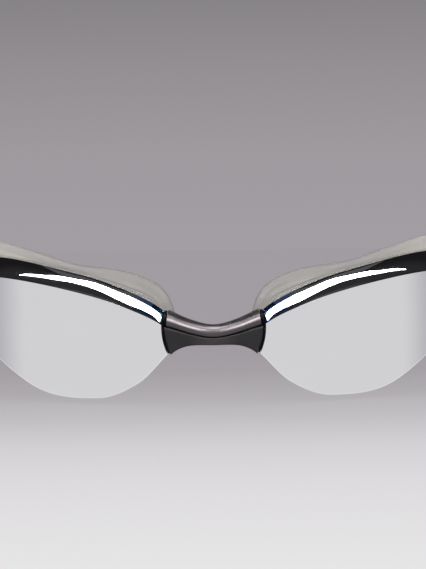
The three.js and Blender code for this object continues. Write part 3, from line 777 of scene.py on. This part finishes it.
def side_arm(name, side):
    """A plan from above cut to a side outline, then slotted for the lug, the strap and the button."""
    radius, middle, z = (ARM_OUTER - ARM_INNER) / 2, (ARM_OUTER + ARM_INNER) / 2, HINGE.z
    corner_y = ARM_REAR - ARM_CORNER
    plan = [
        *arc(middle, HINGE.y, radius, 180, 360, 32),
        *bend((ARM_OUTER, corner_y), (ARM_OUTER, ARM_REAR), (ARM_OUTER - ARM_CORNER_ACROSS, ARM_REAR)),
        *bend((ARM_INNER + ARM_CORNER_ACROSS, ARM_REAR), (ARM_INNER, ARM_REAR), (ARM_INNER, corner_y)),
    ]
    low, high = z - ARM_BLANK_HALF, z + ARM_BLANK_HALF
    piece = prism(name, plan, low, high, "Z", side, [ARM])
    nose, end = HINGE.y - radius - 1, ARM_REAR + 1
    lower = [
        *bend((nose, -ARM_FRONT_HALF), (ARM_WAIST, -ARM_FRONT_HALF), (ARM_SWELL, -ARM_REAR_HALF), 16),
        *bend((end - 4, -ARM_REAR_HALF), (end - 1, -ARM_REAR_HALF), (end, -ARM_REAR_HALF + ARM_CORNER)),
    ]
    outline = [(y, z + h) for y, h in lower] + [(y, z - h) for y, h in reversed(lower)]
    combine(piece, prism("side", outline, middle - 10, middle + 10, "X", side, []), "INTERSECT")
    slot = STRAP_THICKNESS / 2 + CLEARANCE
    tall = STRAP_HALF + CLEARANCE
    lug = LUG_HALF + CLEARANCE
    fork_rear = HINGE.y + LUG_RADIUS + FORK_GAP
    length = BUTTON["half_length"] + CLEARANCE
    height = BUTTON["half_height"] + CLEARANCE
    button_front, button_rear = BUTTON["y"] - length, BUTTON["y"] + length
    for cut in (
        block(STRAP_X - slot, STRAP_X + slot, STRAP_START_Y - 8, ARM_REAR + 4, z - tall, z + tall, side),
        block(ARM_INNER - 4, ARM_OUTER + 4, HINGE.y - 8, fork_rear, z - lug, z + lug, side),
        block(STRAP_X, ARM_OUTER + 4, button_front, button_rear, z - height, z + height, side),
        prism("bore", circle(HINGE.x, HINGE.y, PIN_BORE), low, high, "Z", side, []),
    ):
        combine(piece, cut, "DIFFERENCE")
    soften(piece, 35)
    bevel(piece, 0.4, segments=4, angle=40)
    return piece


def button(name, side):
    """The release button, with grip ridges across its face."""
    half, z = BUTTON["half_height"], HINGE.z
    straight = BUTTON["half_length"] - half
    y = BUTTON["y"]
    outline = [*arc(y + straight, z, half, -90, 90, 20), *arc(y - straight, z, half, 90, 270, 20)]
    piece = prism(name, outline, BUTTON["inner"], BUTTON["outer"], "X", side, [SATIN])
    face, low, high = BUTTON["outer"], z - GROOVE_HALF_HEIGHT, z + GROOVE_HALF_HEIGHT
    for k in GROOVES:
        front, rear = y + k - GROOVE_HALF_WIDTH, y + k + GROOVE_HALF_WIDTH
        combine(piece, block(face - GROOVE_DEPTH, face + 1, front, rear, low, high, side), "DIFFERENCE")
    soften(piece, 35)
    bevel(piece, 0.16, angle=40)
    return piece


# ---- Strap ----
STRAP_TURN_Y, STRAP_BACK_X, STRAP_TAIL_X = 88, 42, -30
STRAP_SLOPE_Y, STRAP_SPREAD, TURN_STEPS, TAIL_STEP = 74, 3.2, 72, 0.4
BAND_ROUNDING, WEB_INSET_ACROSS, WEB_INSET_UP = 0.55, 0.05, 0.5
BACK_Y = {"left": 160.2, "right": 162.8}
RIB_PITCH, RIB_HEIGHT, RIBS_START_X, RIBS_FADE = 2.4, 0.22, STRAP_BACK_X - 30, 4
STRAP_BACK_HALF = BAND_BACK_HEIGHT + BAND_GAP / 2
slider_low, slider_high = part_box("slider_left")
STRAP_BACK_Z = (slider_high.z + slider_low.z) / 2 / MM - ORIGIN.z / MM


def strap_path(back_y):
    """The strap's middle line seen from above: straight, round the head and straight across the back."""
    points = [Vector((STRAP_X, y)) for y in range(STRAP_START_Y, STRAP_TURN_Y, 2)]
    across, deep = STRAP_X - STRAP_BACK_X, back_y - STRAP_TURN_Y
    for k in range(TURN_STEPS + 1):
        a = math.pi / 2 * k / TURN_STEPS
        points.append(Vector((STRAP_BACK_X + across * math.cos(a), STRAP_TURN_Y + deep * math.sin(a))))
    steps = round((STRAP_BACK_X - STRAP_TAIL_X) / TAIL_STEP)
    points += [Vector((STRAP_BACK_X - TAIL_STEP * k, back_y)) for k in range(1, steps + 1)]
    return points


def strap_share(p, back_y):
    """How far along its slope the strap is: 0 at the arm's end, 1 where the back begins."""
    back = max(p.y - STRAP_SLOPE_Y, 0)
    inwards = STRAP_X - max(p.x, STRAP_BACK_X)
    return (back + inwards) / (back_y - STRAP_SLOPE_Y + STRAP_X - STRAP_BACK_X)


def band_outline(half_thick, half_high, rib):
    """A rounded flat section as (outwards, up). The outer face stands up by the rib."""
    r = BAND_ROUNDING
    points = []
    for u, v, start in ((1, 1, 0), (-1, 1, 90), (-1, -1, 180), (1, -1, 270)):
        centre = (u * (half_thick - r), v * (half_high - r))
        points += arc(*centre, r, start, start + 90, 4)
    return [(u + (rib if u > 0 else 0), v) for u, v in points]


def band(back_y, sign, side):
    """The upper or lower band of one half. It slopes to the sliders' height and is ribbed at the back."""
    path = strap_path(back_y)
    sections = []
    for i, p in enumerate(path):
        share = strap_share(p, back_y)
        blend = smoothstep(share)
        middle = HINGE.z + (STRAP_BACK_Z - HINGE.z) * blend
        height = BAND_HEIGHT + (BAND_BACK_HEIGHT - BAND_HEIGHT) * blend
        spread = STRAP_SPREAD * math.sin(math.pi * share) ** 2
        z = middle + sign * ((height + BAND_GAP) / 2 + spread)
        run = path[min(i + 1, len(path) - 1)] - path[max(i - 1, 0)]
        out = Vector((run.y, -run.x)).normalized()
        ribbed = smoothstep((RIBS_START_X - p.x) / RIBS_FADE)
        wave = max(0, math.cos(2 * math.pi * p.x / RIB_PITCH))
        row = band_outline(STRAP_THICKNESS / 2, height / 2, RIB_HEIGHT * wave * ribbed)
        sections.append([(p.x + out.x * u, p.y + out.y * u, z + v) for u, v in row])
    return tube("band", sections, side, [STRAP])


def strap(name, key):
    """Two bands, joined by a web in the side arm and another at the tail."""
    side, back_y, half = SIDES[key], BACK_Y[key], STRAP_THICKNESS / 2
    piece = band(back_y, 1, side)
    piece.name = name
    combine(piece, band(back_y, -1, side), "UNION")
    across, up = WEB_INSET_ACROSS, WEB_INSET_UP
    stem = block(
        STRAP_X - half + across, STRAP_X + half - across, STRAP_START_Y + 0.3, STRAP_SLOPE_Y + 3,
        HINGE.z - STRAP_HALF + up, HINGE.z + STRAP_HALF - up, side,
    )
    combine(piece, stem, "UNION")
    end = block(
        STRAP_TAIL_X + 0.1, STRAP_TAIL_X + 5, back_y - half + across, back_y + half - across,
        STRAP_BACK_Z - STRAP_BACK_HALF + up, STRAP_BACK_Z + STRAP_BACK_HALF - up, side,
    )
    combine(piece, end, "UNION")
    soften(piece, 50)
    return piece


# ---- Assembly ----
WELD_GAP = 0.002


def put(piece, node, body):
    """The piece takes the place of a frame piece, on its body."""
    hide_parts(node)
    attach(piece, body)


def finish_frame_node(node, material, width):
    """A frame piece keeps its shape and gets soft edges and a finish."""
    piece = frame["nodes"][node]
    piece.modifiers.new("join", "WELD").merge_threshold = WELD_GAP * MM
    bevel(piece, width)
    for slot in piece.material_slots:
        slot.material = material


put(bridge_body(), "nose_bridge_body", "bridge")
put(bridge_cover(), "nose_bridge_cover", "bridge")
for key, side in SIDES.items():
    put(lens(f"lens_fine_{key}", side), f"lens_{key}", f"eyecup_{key}")
    put(rim(f"rim_fine_{key}", side), f"rim_{key}", f"eyecup_{key}")
    put(gasket(f"gasket_fine_{key}", side), f"gasket_{key}", f"eyecup_{key}")
    put(side_arm(f"side_arm_fine_{key}", side), f"side_arm_{key}", f"arm_{key}")
    put(button(f"button_fine_{key}", side), f"release_button_{key}", f"button_{key}")
    put(strap(f"strap_fine_{key}", key), f"strap_{key}", f"arm_{key}")
    finish_frame_node(f"hinge_pin_{key}", STEEL, 0.15)
    finish_frame_node(f"slider_{key}", ARM, 0.45)


# ---- Stage ----
def stage_material(name, build):
    material = bpy.data.materials.new(name)
    material.use_nodes = True
    build(material.node_tree)
    return material


def emit(colour, strength):
    """An even glow."""
    def build(tree):
        tree.nodes.remove(tree.nodes["Principled BSDF"])
        glow = tree.nodes.new("ShaderNodeEmission")
        glow.inputs["Color"].default_value = (*colour, 1)
        glow.inputs["Strength"].default_value = strength
        tree.links.new(glow.outputs[0], tree.nodes["Material Output"].inputs["Surface"])

    return build


def graded(axis, low, high, stops, shadowed):
    """A glow that changes along an axis, with a share of plain diffuse so that shadows fall on it.

    Each stop is its place from low to high, its brightness and how much green it has of that.
    """
    def build(tree):
        coords = tree.nodes.new("ShaderNodeTexCoord")
        split = tree.nodes.new("ShaderNodeSeparateXYZ")
        tree.links.new(coords.outputs["Object"], split.inputs[0])
        run = tree.nodes.new("ShaderNodeMapRange")
        run.inputs["From Min"].default_value = low
        run.inputs["From Max"].default_value = high
        tree.links.new(split.outputs[axis], run.inputs["Value"])
        ramp = tree.nodes.new("ShaderNodeValToRGB")
        tree.links.new(run.outputs["Result"], ramp.inputs["Fac"])
        elements = ramp.color_ramp.elements
        while len(elements) < len(stops):
            elements.new(0.5)
        for element, (place_at, shade, green) in zip(elements, stops):
            element.position = place_at
            element.color = (shade, shade * green, shade, 1)
        glow = tree.nodes.new("ShaderNodeEmission")
        tree.links.new(ramp.outputs["Color"], glow.inputs["Color"])
        plain = tree.nodes.new("ShaderNodeBsdfDiffuse")
        tree.links.new(ramp.outputs["Color"], plain.inputs["Color"])
        mix = tree.nodes.new("ShaderNodeMixShader")
        mix.inputs[0].default_value = shadowed
        tree.links.new(glow.outputs[0], mix.inputs[1])
        tree.links.new(plain.outputs[0], mix.inputs[2])
        tree.nodes.remove(tree.nodes["Principled BSDF"])
        tree.links.new(mix.outputs[0], tree.nodes["Material Output"].inputs["Surface"])

    return build


FLOOR_SHADES = [
    (0, 0.80, 0.99), (0.22, 0.72, 0.975), (0.34, 0.65, 0.98), (0.48, 0.54, 0.965),
    (0.66, 0.43, 0.955), (0.82, 0.375, 0.945), (1, 0.366, 0.93),
]
WALL_SHADES = [(0, 0.368, 0.93), (0.4, 0.343, 0.94), (0.72, 0.295, 0.94), (1, 0.243, 0.945)]


def level(x0, x1, y0, y1, z):
    """The corners of a level rectangle."""
    return [(x0, y0, z), (x1, y0, z), (x1, y1, z), (x0, y1, z)]


def upright(x0, x1, y, z0, z1):
    """The corners of an upright rectangle that faces the front."""
    return [(x0, y, z0), (x1, y, z0), (x1, y, z1), (x0, y, z1)]


def panel(name, corners, build):
    """A flat piece of the stage, with a material of the same name."""
    mesh = bpy.data.meshes.new(name)
    mesh.from_pydata(corners, [], [tuple(range(len(corners)))])
    mesh.materials.append(stage_material(name, build))
    piece = bpy.data.objects.new(name, mesh)
    bpy.context.scene.collection.objects.link(piece)
    return piece


def reflected_only(piece):
    """A panel that shows in reflections and does nothing else."""
    piece.visible_camera = False
    piece.visible_diffuse = False
    piece.visible_transmission = False
    piece.visible_shadow = False


FLOOR_HALF, WALL_Y, WALL_TOP = 3, 1.6, 3
FLOOR_FRONT, FLOOR_REAR, WALL_FADE_TOP, FLOOR_SHADOWED = -0.25, 0.05, 0.333, 0.06
panel(
    "floor", level(-FLOOR_HALF, FLOOR_HALF, -FLOOR_HALF, WALL_Y, 0),
    graded("Y", FLOOR_FRONT, FLOOR_REAR, FLOOR_SHADES, FLOOR_SHADOWED),
)
panel(
    "backdrop", upright(-FLOOR_HALF, FLOOR_HALF, WALL_Y, 0, WALL_TOP),
    graded("Z", 0, WALL_FADE_TOP, WALL_SHADES, 0),
)

# The wall brightens towards its ends, so that no edge of it shows through the clear pieces.
WALL_END_INNER, WALL_END_OUTER, WALL_END_PROUD = 1.4, 3.6, 0.002
for side in SIDES.values():
    inner, outer = side * WALL_END_INNER, side * WALL_END_OUTER
    panel(
        "wall_end", upright(inner, outer, WALL_Y - WALL_END_PROUD, 0, WALL_TOP),
        graded("X", inner, outer, [(0, 0.33, 0.94), (1, 0.76, 0.99)], 0),
    )

# A tapering strip light in front of a dark ceiling, for the brow bands to reflect.
CEILING_Z, CARD_Z, STRIP_Z = 0.62, 0.61, 0.6
ceiling = panel(
    "dark_ceiling", level(-1.4, 1.4, -1.6, 1.0, CEILING_Z),
    graded("Y", -0.45, 0.05, [(0, 0.030, 1), (0.7, 0.022, 0.97), (1, 0.011, 0.9)], 0),
)
STRIP_HALF_X, STRIP_STEPS, STRIP_POWER = 0.78, 40, 12.0
# The strip's rear and front edges, from its centre to its tips.
strip_rear = through([
    (-0.12, 0.03), (0, 0.08), (0.12, 0.03), (0.2, -0.01), (0.28, -0.055), (0.38, -0.115), (0.78, -0.19),
])
strip_front = through([
    (0, -0.215), (0.05, -0.21), (0.12, -0.165), (0.24, -0.135),
    (0.34, -0.165), (0.5, -0.19), (0.78, -0.195),
])


def strip_outline():
    xs = [STRIP_HALF_X * (2 * k / STRIP_STEPS - 1) for k in range(STRIP_STEPS + 1)]
    front = [(x, strip_front(abs(x)), STRIP_Z) for x in xs]
    rear = [(x, strip_rear(abs(x)), STRIP_Z) for x in reversed(xs[1:-1])]
    return front + rear


strip = panel("strip_light", strip_outline(), emit((1, 1, 1), STRIP_POWER))
# A dim grey card behind the strip lifts the dark above the bands' bright stripe.
grey_card = panel("grey_card", level(-0.2, 0.2, -0.05, 0.2, CARD_Z), emit((0.085, 0.085, 0.09), 1.0))
# The lens faces reflect the table in front of them, so a pale card lies on it.
TABLE_HALF, TABLE_REAR, TABLE_Z, TABLE_SHADE = 8, 0.3, 0.0006, 0.775
table_card = panel(
    "table_card", level(-TABLE_HALF, TABLE_HALF, -TABLE_HALF, TABLE_REAR, TABLE_Z),
    emit((0.985 * TABLE_SHADE, 0.98 * TABLE_SHADE, TABLE_SHADE), 1.0),
)
# The bridge's cover reflects a broad light in front of the strip, too far forward for the bands to see.
FRONT_LIGHT_POWER = 16.0
FRONT_LIGHT_CORNERS = [
    (-0.75, -0.44), (0.75, -0.44), (1.1, -1.8), (0.6, -1.8),
    (0.2, -0.5), (-0.2, -0.5), (-0.6, -1.8), (-1.1, -1.8),
]
front_light = panel(
    "front_light", [(x, y, STRIP_Z) for x, y in FRONT_LIGHT_CORNERS],
    emit((1, 0.98, 0.99), FRONT_LIGHT_POWER),
)
for card in (ceiling, strip, grey_card, table_card, front_light):
    reflected_only(card)


LAMP_AT, LAMP_WIDTH, LAMP_DEPTH, LAMP_POWER = Vector((0, -0.2, 1.4)), 1.8, 1.4, 6
light = bpy.data.lights.new("soft_top", "AREA")
light.shape = "RECTANGLE"
light.size, light.size_y = LAMP_WIDTH, LAMP_DEPTH
light.energy = LAMP_POWER
lamp = bpy.data.objects.new("soft_top", light)
bpy.context.scene.collection.objects.link(lamp)
lamp.location = LAMP_AT
lamp.rotation_euler = (-LAMP_AT).to_track_quat("-Z", "Y").to_euler()
lamp.visible_glossy = False

world = bpy.data.worlds.new("studio")
world.use_nodes = True
sky = world.node_tree.nodes["Background"]
sky.inputs["Color"].default_value = (0.985, 0.98, 1, 1)
sky.inputs["Strength"].default_value = 0.77
bpy.context.scene.world = world
bpy.context.scene.view_settings.view_transform = "Standard"

# ---- Camera ----
CAMERA_DISTANCE, CAMERA_ELEVATION, CAMERA_PITCH, CAMERA_ROLL, CAMERA_LENS = 0.36, 4.4, 2.53, -0.85, 96.8
camera = bpy.data.objects.new("camera", bpy.data.cameras.new("camera"))
bpy.context.scene.collection.objects.link(camera)
elevation = math.radians(CAMERA_ELEVATION)
camera.location = ORIGIN + Vector((0, -math.cos(elevation), math.sin(elevation))) * CAMERA_DISTANCE
pitch = Matrix.Rotation(math.radians(90 - CAMERA_PITCH), 4, "X")
roll = Matrix.Rotation(math.radians(CAMERA_ROLL), 4, "Z")
camera.rotation_euler = (pitch @ roll).to_euler()
camera.data.lens = CAMERA_LENS
camera.data.clip_start = 0.01
camera.data.clip_end = 20
bpy.context.scene.camera = camera

bpy.context.view_layer.update()
